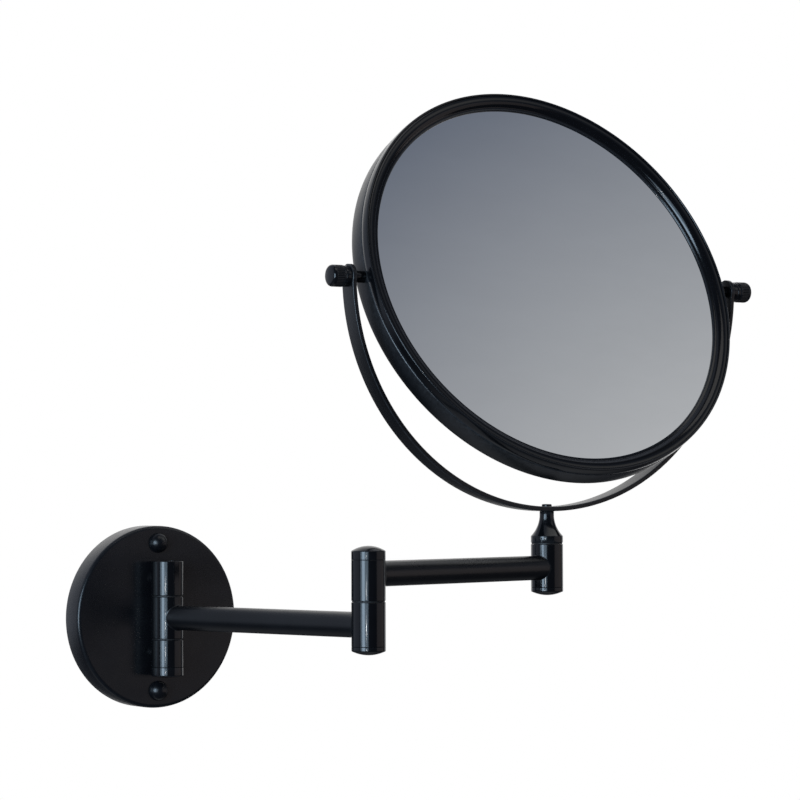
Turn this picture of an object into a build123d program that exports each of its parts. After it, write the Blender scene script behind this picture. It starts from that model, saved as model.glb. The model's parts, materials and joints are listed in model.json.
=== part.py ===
from build123d import *
from math import cos, radians, sin, sqrt
import os

# An extendable wall mirror: a round wall plate, two arms on upright hinges, a swivelling
# yoke and a two-sided round mirror that tilts in it.
# Frame: the origin is the centre of the wall plate's back, -Y points into the room, +Z up.
# The inner arm's centre line is at Z = 0.

# Wall plate, an open-backed drum
plate_dia = 90.0
plate_depth = 12.5
plate_front = 2.5
plate_rim = 2.0
plate_edge = 1.6
screw_spacing = 73.0
screw_hole_dia = 5.0
screw_cup_dia = 7.2
screw_cup_height = 1.4
screw_cap_dia = 9.8
screw_cap_height = 4.6
screw_cap_wall = 0.9
screw_cap_edge = 0.5

# Hinge barrels
hub_dia = 16.0
hub_gap = 1.0
wall_hub_middle = 20.6
wall_upper_length = 16.8
wall_lower_length = 13.5
barrel_chamfer = 0.35
washer_thick = 0.5
boss_dia = 9.0
spigot_dia = 6.0
upper_blind = 4.0

# Pins, nuts and washers inside the barrels
pin_dia = 6.0
pin_head_thick = 2.6
pin_chamfer = 0.4
nut_wall = 2.0
nut_thick = 3.0
spring_wall = 2.5
spring_thick = 0.7
spring_rise = 0.5
pin_stick_out = 0.5
knuckle_screw_dia = 3.0
knuckle_screw_depth = 6.0
knuckle_screw_head_dia = 7.6
knuckle_screw_head_thick = 2.2
drive_slot_wide = 1.0
drive_slot_deep = 1.1
drive_slot_long = 5.0

# Domed end caps: height of the straight skirt, then of the dome
cap_spigot = 1.4
cap_edge = 0.5
wall_cap_skirt = 4.2
wall_cap_dome = 0.9
elbow_top_skirt = 4.0
elbow_top_dome = 2.4
elbow_low_skirt = 2.0
elbow_low_dome = 1.9
mirror_cap_skirt = 2.0
mirror_cap_dome = 1.9

# Arms, and how far each barrel reaches past the arm's centre line
arm_length = 133.0
arm_dia = 12.0
arm_wall = 1.2
inner_arm_angle = 76.5
outer_arm_angle = -13.5
elbow_lower_rise = 11.0
elbow_lower_drop = 9.9
elbow_upper_rise = 6.7
elbow_upper_drop = 12.6
mirror_hub_rise = 11.7
mirror_hub_drop = 9.8

# Swivel neck and yoke
collar_height = 3.4
neck_height = 15.7
neck_dia = 7.2
neck_waist_dia = 10.2
neck_waist_share = 0.42
neck_straight = 2.6
spindle_tail_dia = 4.0
rivet_dia = 5.0
rivet_height = 1.2
rivet_seat = 0.05
yoke_angle = 4.5
yoke_gap = 6.6
yoke_rise = 0.9
yoke_thick = 2.3
yoke_width = 10.6
eye_dia = 12.0

# Mirror head: a shell and a front ring round two glasses, levels measured from its middle
mirror_dia = 210.0
mirror_tilt = 23.1
bezel_width = 8.3
glass_thick = 3.0
glass_recess = 0.5
front_glass_level = 3.9
rear_glass_level = -6.9
rear_glass_thick = 2.5
rear_glass_bowl = 4.1
shell_wall = 2.0
split_level = 3.2
split_groove = 0.4
upstand_thick = 0.9
upstand_height = 2.4
rim_level = 7.5
rim_crest = 8.2
rim_edge = 0.6
board_thick = 1.0
spacer_width = 5.5

# Tilt pivots and knobs
stud_dia = 4.0
stud_flange_wall = 1.5
stud_flange_thick = 0.9
bush_dia = 5.8
washer_dia = 10.2
washer_length = 2.7
extra_washer_length = 1.8
knob_dia = 10.6
knob_length = 7.4
knob_dome = 0.7
knob_edge = 1.0
knob_cover = 1.6
rib_count = 36
rib_depth = 0.22
rib_foot = 0.9

# Clearances: running and tight are radial, play is axial
running = 0.05
tight = 0.01
play = 0.05
glass_play = 0.15
side_play = 0.3
loose = 0.35

UP = Vector(0, 0, 1)
ROOM = Vector(0, -1, 0)


def heading(degrees):
    """Level direction, turned by an angle from +X towards the room."""
    return Vector(cos(radians(degrees)), -sin(radians(degrees)), 0)


def upright(point, direction):
    """Upright plane through a point: X runs along a level direction and Y straight up."""
    return Plane(origin=point, x_dir=direction, z_dir=direction.cross(UP))


def level(point, height):
    """Level plane over a point, at a height above the inner arm."""
    return Plane(origin=(point.X, point.Y, height), x_dir=(1, 0, 0), z_dir=UP)


def disc_plane(point, direction, offset=0.0):
    """Plane across a direction, some way along it."""
    return Plane(origin=point + direction * offset, z_dir=direction)


# Joint centres and directions at rest
hub_radius = hub_dia / 2
wall_axis = ROOM * (plate_depth + hub_gap + hub_radius)
inner_dir = heading(inner_arm_angle)
outer_dir = heading(outer_arm_angle)
elbow_axis = wall_axis + inner_dir * arm_length
mirror_axis = elbow_axis + outer_dir * arm_length
pivot_dir = heading(yoke_angle)
facing = heading(yoke_angle + 90)
bore_radius = pin_dia / 2 + running
nut_across_flats = pin_dia + 2 * nut_wall
nut_corner = nut_across_flats / 2 / cos(radians(30))
pocket_radius = nut_corner + loose
pocket_depth = spring_rise + spring_thick + nut_thick + pin_stick_out + cap_spigot + loose

# Heights at rest, counted from the inner arm
wall_hub_top = wall_hub_middle / 2 + washer_thick + 2 * play + wall_upper_length
wall_hub_bottom = -wall_hub_middle / 2 - washer_thick - 2 * play - wall_lower_length
outer_arm_height = elbow_lower_rise + elbow_upper_drop
elbow_upper_top = outer_arm_height + elbow_upper_rise
mirror_hub_top = outer_arm_height + mirror_hub_rise
mirror_hub_bottom = outer_arm_height - mirror_hub_drop
neck_base = mirror_hub_top + washer_thick + 2 * play
yoke_bottom = neck_base + neck_height

# Mirror head and yoke, sized from the mirror's outside
frame_radius = mirror_dia / 2
yoke_inner_radius = frame_radius + yoke_gap
yoke_outer_radius = yoke_inner_radius + yoke_thick
yoke_centre_height = yoke_bottom + yoke_outer_radius
mirror_height = yoke_centre_height - yoke_rise
mirror_centre = mirror_axis + UP * mirror_height
normal = facing * cos(radians(mirror_tilt)) + UP * sin(radians(mirror_tilt))


# ---------------------------------------------------------------- shared shapes


def dome_height(radius, height, at):
    """Height of a shallow round dome above its rim, at a distance from its middle."""
    curve = (radius**2 + height**2) / (2 * height)
    return sqrt(curve**2 - at**2) - (curve - height)


def barrel(point, low, high, bore, pocket=0, blind=0):
    """Hinge barrel on an upright axis. pocket is -1 or 1 for a nut pocket opening down or up.
    blind leaves that much metal above a bore that doesn't go through."""
    with BuildPart() as made:
        with BuildSketch(level(point, low)):
            Circle(hub_radius)
        extrude(amount=high - low)
        rims = made.edges().filter_by(GeomType.CIRCLE).sort_by(Axis.Z)
        chamfer([rims[0], rims[-1]], length=barrel_chamfer)
        with BuildSketch(level(point, low)):
            Circle(bore)
        extrude(amount=high - low - blind, mode=Mode.SUBTRACT)
        if pocket:
            with BuildSketch(level(point, low if pocket < 0 else high)):
                Circle(pocket_radius)
            extrude(amount=-pocket * pocket_depth, mode=Mode.SUBTRACT)
    return made.part


def end_cap(point, seam, skirt, dome, way):
    """Domed cap with a spigot in the barrel's pocket. way is 1 for a top cap, -1 for a bottom."""
    spigot = pocket_radius - tight
    mouth = seam - way * cap_spigot
    corner = seam + way * skirt
    peak = corner + way * dome
    middle = corner + way * dome_height(hub_radius, dome, hub_radius / 2)
    with BuildPart() as made:
        with BuildSketch(upright(Vector(point.X, point.Y, 0), inner_dir)):
            with BuildLine():
                Polyline((0, peak), (0, mouth), (spigot, mouth), (spigot, seam), (hub_radius, seam))
                Line((hub_radius, seam), (hub_radius, corner))
                ThreePointArc((hub_radius, corner), (hub_radius / 2, middle), (0, peak))
            make_face()
        revolve(axis=Axis(point, UP))
        rims = made.edges().filter_by(GeomType.CIRCLE)
        outer = [rim for rim in rims if abs(rim.radius - hub_radius) < tight]
        fillet(max(outer, key=lambda rim: way * rim.center().Z), radius=cap_edge)
    return made.part


def flat_washer(point, low, inner, outer, thick):
    """Plain ring on an upright axis."""
    with BuildPart() as made:
        with BuildSketch(level(point, low)):
            Circle(outer)
            Circle(inner, mode=Mode.SUBTRACT)
        extrude(amount=thick)
    return made.part


def spring_washer(point, seat, way):
    """Dished spring washer that stands on a seat and rises along way, 1 up or -1 down."""
    inner = pin_dia / 2 + running * 2
    outer = pin_dia / 2 + spring_wall
    top = seat + way * spring_rise
    with BuildPart() as made:
        with BuildSketch(upright(Vector(point.X, point.Y, 0), inner_dir)):
            with BuildLine():
                Polyline(
                    (outer, seat),
                    (outer, seat + way * spring_thick),
                    (inner, top + way * spring_thick),
                    (inner, top),
                    close=True,
                )
            make_face()
        revolve(axis=Axis(point, UP))
    return made.part


def lock_nut(point, seat, way):
    """Hexagonal nut with chamfered corners, standing on a seat."""
    with BuildPart() as made:
        with BuildSketch(level(point, seat)):
            RegularPolygon(nut_across_flats / 2, 6, major_radius=False)
            Circle(pin_dia / 2 + tight, mode=Mode.SUBTRACT)
        extrude(amount=way * nut_thick)
    return made.part


def arm_tube(start, direction, height):
    """Straight tube between two barrels, its ends coped to them."""
    base = start + UP * height
    with BuildPart() as made:
        with BuildSketch(disc_plane(base, direction)):
            Circle(arm_dia / 2)
            Circle(arm_dia / 2 - arm_wall, mode=Mode.SUBTRACT)
        extrude(amount=arm_length)
        for end in (base, base + direction * arm_length):
            with BuildSketch(level(end, height - arm_dia)):
                Circle(hub_radius + tight)
            extrude(amount=2 * arm_dia, mode=Mode.SUBTRACT)
    return made.part


# ---------------------------------------------------------------- wall mount

plate_inner = plate_dia / 2 - plate_rim
front_back = plate_depth - plate_front
knuckle_heights = {
    "upper": (wall_hub_top - wall_upper_length, wall_hub_top),
    "lower": (wall_hub_bottom, wall_hub_bottom + wall_lower_length),
}

with BuildPart() as wall_plate:
    with BuildSketch(Plane.XZ):
        Circle(plate_dia / 2)
    extrude(amount=plate_depth)
    fillet(wall_plate.edges().group_by(Axis.Y)[0], radius=plate_edge)
    with BuildSketch(Plane.XZ):
        Circle(plate_inner)
    extrude(amount=front_back, mode=Mode.SUBTRACT)
    fillet(wall_plate.faces().filter_by(Axis.Y).sort_by(Axis.Y)[1].outer_wire().edges(), radius=1.0)
    with BuildSketch(Plane.XZ):
        for side in (-1, 1):
            with Locations((0, side * screw_spacing / 2)):
                Circle(screw_hole_dia / 2)
        for low, high in knuckle_heights.values():
            with Locations((0, (low + high) / 2)):
                Circle(spigot_dia / 2 + tight)
    extrude(amount=plate_depth, mode=Mode.SUBTRACT)


def wall_knuckle(low, high, pocket, blind):
    """Fixed barrel with a short boss against the plate and a spigot through it."""
    root = Vector(0, 0, (low + high) / 2)
    reach = -wall_axis.Y
    with BuildPart() as made:
        with BuildSketch(disc_plane(root, ROOM, plate_depth)):
            Circle(boss_dia / 2)
        extrude(amount=reach - plate_depth)
        with BuildSketch(disc_plane(root, ROOM, front_back)):
            Circle(spigot_dia / 2)
        extrude(amount=reach - front_back)
        with BuildSketch(level(wall_axis, low)):
            Circle(hub_radius - barrel_chamfer)
        extrude(amount=high - low, mode=Mode.SUBTRACT)
        add(barrel(wall_axis, low, high, pin_dia / 2 + tight, pocket, blind))
        with BuildSketch(disc_plane(root, ROOM, front_back)):
            Circle(knuckle_screw_dia / 2 + tight)
        extrude(amount=knuckle_screw_depth, mode=Mode.SUBTRACT)
    return made.part


wall_knuckle_upper = wall_knuckle(*knuckle_heights["upper"], pocket=0, blind=upper_blind)
wall_knuckle_lower = wall_knuckle(*knuckle_heights["lower"], pocket=-1, blind=0)

# Screws that hold the two fixed barrels from inside the plate
with BuildPart() as knuckle_screws:
    for low, high in knuckle_heights.values():
        root = Vector(0, 0, (low + high) / 2)
        with BuildSketch(disc_plane(root, ROOM, front_back)):
            Circle(knuckle_screw_dia / 2)
        extrude(amount=knuckle_screw_depth - play)
        with BuildSketch(disc_plane(root, ROOM, front_back)):
            Circle(knuckle_screw_head_dia / 2)
        extrude(amount=-knuckle_screw_head_thick)
        with BuildSketch(disc_plane(root, ROOM, front_back - knuckle_screw_head_thick)):
            Rectangle(drive_slot_wide, drive_slot_long)
            Rectangle(drive_slot_long, drive_slot_wide)
        extrude(amount=drive_slot_deep, mode=Mode.SUBTRACT)

# Cups that lie under the wall screws' heads, and the domed caps that snap over them
with BuildPart() as screw_cups:
    for side in (-1, 1):
        seat = Vector(0, 0, side * screw_spacing / 2)
        with BuildSketch(disc_plane(seat, ROOM, plate_depth)):
            Circle(screw_cup_dia / 2)
            Circle(screw_hole_dia / 2 + running, mode=Mode.SUBTRACT)
        extrude(amount=screw_cup_height)

with BuildPart() as screw_caps:
    outer = screw_cap_dia / 2
    inner = screw_cup_dia / 2 + tight
    outer_level = plate_depth + screw_cap_edge
    inner_level = plate_depth + screw_cup_height + play
    peak = plate_depth + screw_cap_height
    outer_middle = outer_level + dome_height(outer, peak - outer_level, outer / 2)
    inner_peak = peak - screw_cap_wall
    inner_middle = inner_level + dome_height(inner, inner_peak - inner_level, inner / 2)
    for side in (-1, 1):
        seat = Vector(0, 0, side * screw_spacing / 2)
        with BuildSketch(Plane(origin=seat, x_dir=UP, z_dir=UP.cross(ROOM))):
            with BuildLine():
                Polyline((inner, inner_level), (inner, plate_depth), (outer, plate_depth),
                         (outer, outer_level))
                ThreePointArc((outer, outer_level), (outer / 2, outer_middle), (0, peak))
                Line((0, peak), (0, inner_peak))
                ThreePointArc((0, inner_peak), (inner / 2, inner_middle), (inner, inner_level))
            make_face()
        revolve(axis=Axis(seat, ROOM))

# Pin, clamped from below by a spring washer and a nut, which a cap covers
wall_pocket_floor = wall_hub_bottom + pocket_depth
wall_nut_seat = wall_pocket_floor - spring_rise - spring_thick
with BuildPart() as wall_hinge_pin:
    with BuildSketch(level(wall_axis, wall_nut_seat - nut_thick - pin_stick_out)):
        Circle(pin_dia / 2)
    extrude(amount=wall_hub_top - upper_blind - play - wall_nut_seat + nut_thick + pin_stick_out)
    chamfer(wall_hinge_pin.edges().filter_by(GeomType.CIRCLE), length=pin_chamfer)

wall_hinge_spring = spring_washer(wall_axis, wall_pocket_floor, -1)
wall_hinge_nut = lock_nut(wall_axis, wall_nut_seat, -1)
wall_hinge_cap = end_cap(wall_axis, wall_hub_bottom, wall_cap_skirt, wall_cap_dome, -1)

# Friction washers above and below the inner arm's barrel
with BuildPart() as wall_hinge_washers:
    for low in (wall_hub_middle / 2 + play, -wall_hub_middle / 2 - play - washer_thick):
        with BuildSketch(level(wall_axis, low)):
            Circle(hub_radius - barrel_chamfer)
            Circle(bore_radius, mode=Mode.SUBTRACT)
        extrude(amount=washer_thick)

# ---------------------------------------------------------------- inner arm

elbow_seat = elbow_lower_rise - washer_thick / 2 - play
elbow_lower_bottom = -elbow_lower_drop
inner_knuckle = barrel(wall_axis, -wall_hub_middle / 2, wall_hub_middle / 2, bore_radius)
inner_tube = arm_tube(wall_axis, inner_dir, 0)
elbow_lower_knuckle = barrel(elbow_axis, elbow_lower_bottom, elbow_seat, pin_dia / 2 + tight, pocket=-1)
elbow_lower_cap = end_cap(elbow_axis, elbow_lower_bottom, elbow_low_skirt, elbow_low_dome, -1)
elbow_washer = flat_washer(elbow_axis, elbow_lower_rise - washer_thick / 2, bore_radius,
                           hub_radius - barrel_chamfer, washer_thick)

# Shouldered pin, its head in the lower barrel's pocket, with the nut inside the upper barrel
elbow_head_seat = elbow_lower_bottom + pocket_depth
elbow_pocket_floor = elbow_upper_top - pocket_depth
elbow_spring_seat = elbow_pocket_floor + play
elbow_nut_seat = elbow_spring_seat + spring_rise + spring_thick
with BuildPart() as elbow_pin:
    with BuildSketch(level(elbow_axis, elbow_head_seat)):
        Circle(pin_dia / 2)
    extrude(amount=elbow_nut_seat + nut_thick + pin_stick_out - elbow_head_seat)
    chamfer(elbow_pin.edges().sort_by(Axis.Z)[-1], length=pin_chamfer)
    with BuildSketch(level(elbow_axis, elbow_head_seat)):
        Circle(nut_corner)
    extrude(amount=-pin_head_thick)
elbow_spring = spring_washer(elbow_axis, elbow_spring_seat, 1)
elbow_nut = lock_nut(elbow_axis, elbow_nut_seat, 1)

# ---------------------------------------------------------------- outer arm

elbow_upper_base = elbow_lower_rise + washer_thick / 2 + play
elbow_upper_knuckle = barrel(elbow_axis, elbow_upper_base, elbow_upper_top, bore_radius, pocket=1)
elbow_upper_cap = end_cap(elbow_axis, elbow_upper_top, elbow_top_skirt, elbow_top_dome, 1)
outer_tube = arm_tube(elbow_axis, outer_dir, outer_arm_height)
mirror_hub = barrel(mirror_axis, mirror_hub_bottom, mirror_hub_top, bore_radius, pocket=-1)
mirror_hub_cap = end_cap(mirror_axis, mirror_hub_bottom, mirror_cap_skirt, mirror_cap_dome, -1)

# ---------------------------------------------------------------- yoke

swivel_washer = flat_washer(mirror_axis, mirror_hub_top + play, bore_radius,
                            hub_radius - barrel_chamfer, washer_thick)

# Bottle-shaped neck: a straight collar, a hollow flare and a slim top under the strap
neck_radius = neck_dia / 2
flare_start = neck_base + collar_height
flare_end = yoke_bottom - neck_straight
flare_rise = flare_start + (flare_end - flare_start) * neck_waist_share
with BuildPart() as swivel_neck:
    with BuildSketch(upright(Vector(mirror_axis.X, mirror_axis.Y, 0), pivot_dir)):
        with BuildLine():
            Polyline((neck_radius, yoke_bottom), (0, yoke_bottom), (0, neck_base),
                     (hub_radius, neck_base), (hub_radius, flare_start))
            ThreePointArc((hub_radius, flare_start), (neck_waist_dia / 2, flare_rise),
                          (neck_radius, flare_end))
            Line((neck_radius, flare_end), (neck_radius, yoke_bottom))
        make_face()
    revolve(axis=Axis(mirror_axis, UP))
    chamfer(swivel_neck.edges().group_by(Axis.Z)[0], length=barrel_chamfer)
    with BuildSketch(level(mirror_axis, neck_base)):
        Circle(pin_dia / 2 + tight)
    extrude(amount=collar_height, mode=Mode.SUBTRACT)
    with BuildSketch(level(mirror_axis, neck_base)):
        Circle(spindle_tail_dia / 2 + tight)
    extrude(amount=yoke_bottom - neck_base, mode=Mode.SUBTRACT)

# Strap: a flat bar bent into a half circle, with a round eye at each tilt pivot
yoke_plane = upright(Vector(mirror_axis.X, mirror_axis.Y, 0), pivot_dir)
with BuildPart() as yoke_strap:
    with BuildSketch(yoke_plane):
        with Locations((0, yoke_centre_height)):
            Circle(yoke_outer_radius)
            Circle(yoke_inner_radius, mode=Mode.SUBTRACT)
        with Locations((0, mirror_height + yoke_outer_radius)):
            Rectangle(2.1 * yoke_outer_radius, 2 * yoke_outer_radius, mode=Mode.SUBTRACT)
    extrude(amount=yoke_width / 2, both=True)
    for side in (-1, 1):
        with BuildSketch(disc_plane(mirror_centre, pivot_dir * side, yoke_inner_radius)):
            Circle(eye_dia / 2)
        extrude(amount=yoke_thick)
    with BuildSketch(disc_plane(mirror_centre, pivot_dir)):
        Circle(stud_dia / 2 + running)
    extrude(amount=yoke_outer_radius * 1.1, both=True, mode=Mode.SUBTRACT)
    with BuildSketch(level(mirror_axis, yoke_bottom - yoke_thick)):
        Circle(spindle_tail_dia / 2 + tight)
    extrude(amount=3 * yoke_thick, mode=Mode.SUBTRACT)

# Spindle: runs in the hub, its thin tail riveted over the strap, a nut at its foot
hub_pocket_floor = mirror_hub_bottom + pocket_depth
swivel_spring_seat = hub_pocket_floor - play
swivel_nut_seat = swivel_spring_seat - spring_rise - spring_thick
strap_top = yoke_bottom + yoke_thick
with BuildPart() as swivel_spindle:
    with BuildSketch(level(mirror_axis, swivel_nut_seat - nut_thick - pin_stick_out)):
        Circle(pin_dia / 2)
    extrude(amount=neck_base + collar_height - swivel_nut_seat + nut_thick + pin_stick_out)
    chamfer(swivel_spindle.edges().sort_by(Axis.Z)[0], length=pin_chamfer)
    with BuildSketch(level(mirror_axis, neck_base + collar_height)):
        Circle(spindle_tail_dia / 2)
    extrude(amount=strap_top + rivet_seat - neck_base - collar_height)
    with BuildSketch(level(mirror_axis, strap_top + rivet_seat)):
        Circle(rivet_dia / 2)
    extrude(amount=rivet_height)
    fillet(swivel_spindle.edges().sort_by(Axis.Z)[-1], radius=rivet_height / 2)
swivel_spring = spring_washer(mirror_axis, swivel_spring_seat, -1)
swivel_nut = lock_nut(mirror_axis, swivel_nut_seat, -1)

# ---------------------------------------------------------------- mirror head

opening = frame_radius - bezel_width
shell_inner = frame_radius - shell_wall
upstand_outer = shell_inner + upstand_thick
glass_radius = shell_inner - stud_flange_thick - shell_wall / 2
crest_radius = frame_radius - rim_edge
head_profile = Plane(origin=mirror_centre, x_dir=pivot_dir, z_dir=pivot_dir.cross(normal))
head_axis = Axis(mirror_centre, normal)


def rolled_rim(inner_level, way):
    """Rim's outline from the glass opening over its crown to the outer wall, way 1 front, -1 rear."""
    crest = way * rim_crest
    middle = (opening + crest_radius) / 2
    crown = inner_level + 0.68 * (crest - inner_level)
    ThreePointArc((opening, inner_level), (middle, crown), (crest_radius, crest))
    corner = frame_radius - rim_edge * (1 - cos(radians(45)))
    turn = way * (rim_level + (rim_crest - rim_level) * sin(radians(45)))
    ThreePointArc((crest_radius, crest), (corner, turn), (frame_radius, way * rim_level))


# Front ring: its lip holds the front glass and its skirt fits over the shell's upstand
with BuildPart() as front_ring:
    with BuildSketch(head_profile):
        with BuildLine():
            rolled_rim(front_glass_level + glass_recess, 1)
            Polyline(
                (frame_radius, rim_level),
                (frame_radius, split_level + play),
                (upstand_outer + tight, split_level + play),
                (upstand_outer + tight, split_level + upstand_height + glass_play),
                (glass_radius + glass_play, split_level + upstand_height + glass_play),
                (glass_radius + glass_play, front_glass_level + play),
                (opening, front_glass_level + play),
                (opening, front_glass_level + glass_recess),
            )
        make_face()
    revolve(axis=head_axis)

# Rear shell: the drum wall, with its own rolled lip round the magnifying glass
rear_land = rear_glass_level - play
with BuildPart() as rear_shell:
    with BuildSketch(head_profile):
        with BuildLine():
            rolled_rim(rear_land - glass_recess, -1)
            Polyline(
                (frame_radius, -rim_level),
                (frame_radius, split_level - split_groove),
                (frame_radius - split_groove, split_level),
                (upstand_outer, split_level),
                (upstand_outer, split_level + upstand_height),
                (shell_inner, split_level + upstand_height),
                (shell_inner, rear_land),
                (opening, rear_land),
                (opening, rear_land - glass_recess),
            )
        make_face()
    revolve(axis=head_axis)
    for side in (-1, 1):
        with BuildSketch(disc_plane(mirror_centre, pivot_dir * side, shell_inner - shell_wall)):
            Circle(stud_dia / 2 + tight)
        extrude(amount=3 * shell_wall, mode=Mode.SUBTRACT)

with BuildPart() as front_glass:
    with BuildSketch(disc_plane(mirror_centre, normal, front_glass_level - glass_thick)):
        Circle(glass_radius)
    extrude(amount=glass_thick)
    chamfer(front_glass.edges(), length=0.4)

# Magnifying glass: bent to a shallow bowl, hollow towards the rear
half_bowl = dome_height(glass_radius, rear_glass_bowl, glass_radius / 2)
with BuildPart() as rear_glass:
    with BuildSketch(head_profile):
        with BuildLine():
            for edge_level in (rear_glass_level, rear_glass_level + rear_glass_thick):
                ThreePointArc((0, edge_level + rear_glass_bowl), (glass_radius / 2, edge_level + half_bowl),
                              (glass_radius, edge_level))
            for radius, start in ((glass_radius, rear_glass_level), (0, rear_glass_level + rear_glass_bowl)):
                Line((radius, start), (radius, start + rear_glass_thick))
        make_face()
    revolve(axis=head_axis)

board_level = front_glass_level - glass_thick - play - board_thick
with BuildPart() as backing_board:
    with BuildSketch(disc_plane(mirror_centre, normal, board_level)):
        Circle(glass_radius)
    extrude(amount=board_thick)

spacer_inner = glass_radius - spacer_width
spacer_low = (rear_glass_level + rear_glass_thick + play
              + dome_height(glass_radius, rear_glass_bowl, spacer_inner))
with BuildPart() as spacer_ring:
    with BuildSketch(disc_plane(mirror_centre, normal, spacer_low)):
        Circle(glass_radius)
        Circle(spacer_inner, mode=Mode.SUBTRACT)
    extrude(amount=board_level - play - spacer_low)

# Studs that the head turns on: a flange inside the shell, the shank out through bush and strap
stud_flange_radius = stud_dia / 2 + stud_flange_wall
stud_flange_face = sqrt(shell_inner**2 - stud_flange_radius**2) - play
washer_start = yoke_outer_radius + play
knob_starts = {
    -1: washer_start + washer_length + play,
    1: washer_start + washer_length + extra_washer_length + 2 * play,
}
with BuildPart() as pivot_studs:
    for side in (-1, 1):
        with BuildSketch(disc_plane(mirror_centre, pivot_dir * side, stud_flange_face)):
            Circle(stud_dia / 2)
        extrude(amount=knob_starts[side] + knob_length - knob_cover - stud_flange_face)
        with BuildSketch(disc_plane(mirror_centre, pivot_dir * side, stud_flange_face)):
            Circle(stud_flange_radius)
        extrude(amount=-stud_flange_thick)

with BuildPart() as pivot_bushes:
    for side in (-1, 1):
        with BuildSketch(disc_plane(mirror_centre, pivot_dir * side, frame_radius + play)):
            Circle(bush_dia / 2)
            Circle(stud_dia / 2 + tight, mode=Mode.SUBTRACT)
        extrude(amount=yoke_gap - play - side_play)

with BuildPart() as pivot_washers:
    for side in (-1, 1):
        with BuildSketch(disc_plane(mirror_centre, pivot_dir * side, washer_start)):
            Circle(washer_dia / 2)
            Circle(stud_dia / 2 + running, mode=Mode.SUBTRACT)
        extrude(amount=washer_length)

with BuildPart() as extra_washer:
    with BuildSketch(disc_plane(mirror_centre, pivot_dir, washer_start + washer_length + play)):
        Circle(washer_dia / 2)
        Circle(stud_dia / 2 + running, mode=Mode.SUBTRACT)
    extrude(amount=extra_washer_length)


def tilt_knob(side):
    """Ribbed clamping knob on a stud: a domed end, a ribbed grip and a blind bore."""
    out = pivot_dir * side
    start = knob_starts[side]
    radius = knob_dia / 2
    dome_start = start + knob_length - knob_dome
    middle = dome_start + dome_height(radius, knob_dome, radius / 2)
    with BuildPart() as made:
        with BuildSketch(Plane(origin=mirror_centre, x_dir=UP, z_dir=UP.cross(out))):
            with BuildLine():
                Polyline((0, start + knob_length), (0, start), (radius, start), (radius, dome_start))
                ThreePointArc((radius, dome_start), (radius / 2, middle), (0, start + knob_length))
            make_face()
        revolve(axis=Axis(mirror_centre, out))
        rims = [rim for rim in made.edges().filter_by(GeomType.CIRCLE) if abs(rim.radius - radius) < tight]
        fillet(max(rims, key=lambda rim: (rim.center() - mirror_centre).dot(out)), radius=knob_edge)
        with BuildSketch(disc_plane(mirror_centre, out, start + rib_foot)):
            with PolarLocations(radius, rib_count):
                Rectangle(2 * rib_depth, 2 * rib_depth, rotation=45)
        extrude(amount=knob_length - knob_dome - knob_edge - 2 * rib_foot, mode=Mode.SUBTRACT)
        with BuildSketch(disc_plane(mirror_centre, out, start)):
            Circle(stud_dia / 2 + running)
        extrude(amount=knob_length - knob_cover + play, mode=Mode.SUBTRACT)
    return made.part


knob_left = tilt_knob(-1)
knob_right = tilt_knob(1)

# ---------------------------------------------------------------- files

pieces = {
    "wall_plate": wall_plate.part,
    "wall_knuckle_upper": wall_knuckle_upper,
    "wall_knuckle_lower": wall_knuckle_lower,
    "knuckle_screws": knuckle_screws.part,
    "screw_cups": screw_cups.part,
    "screw_caps": screw_caps.part,
    "wall_hinge_pin": wall_hinge_pin.part,
    "wall_hinge_spring": wall_hinge_spring,
    "wall_hinge_nut": wall_hinge_nut,
    "wall_hinge_cap": wall_hinge_cap,
    "wall_hinge_washers": wall_hinge_washers.part,
    "inner_knuckle": inner_knuckle,
    "inner_tube": inner_tube,
    "elbow_lower_knuckle": elbow_lower_knuckle,
    "elbow_lower_cap": elbow_lower_cap,
    "elbow_washer": elbow_washer,
    "elbow_pin": elbow_pin.part,
    "elbow_spring": elbow_spring,
    "elbow_nut": elbow_nut,
    "elbow_upper_knuckle": elbow_upper_knuckle,
    "elbow_upper_cap": elbow_upper_cap,
    "outer_tube": outer_tube,
    "mirror_hub": mirror_hub,
    "mirror_hub_cap": mirror_hub_cap,
    "swivel_washer": swivel_washer,
    "swivel_neck": swivel_neck.part,
    "swivel_spindle": swivel_spindle.part,
    "swivel_spring": swivel_spring,
    "swivel_nut": swivel_nut,
    "yoke_strap": yoke_strap.part,
    "front_ring": front_ring.part,
    "rear_shell": rear_shell.part,
    "front_glass": front_glass.part,
    "rear_glass": rear_glass.part,
    "backing_board": backing_board.part,
    "spacer_ring": spacer_ring.part,
    "pivot_studs": pivot_studs.part,
    "pivot_bushes": pivot_bushes.part,
    "pivot_washers": pivot_washers.part,
    "extra_washer": extra_washer.part,
    "knob_left": knob_left,
    "knob_right": knob_right,
}

os.makedirs("parts", exist_ok=True)
for name, piece in pieces.items():
    piece.label = name
    export_step(piece, f"parts/{name}.step")
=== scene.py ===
import json
from math import atan2, cos, hypot, pi, radians, sin, sqrt

import bmesh
import bpy
from mathutils import Matrix, Vector


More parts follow.
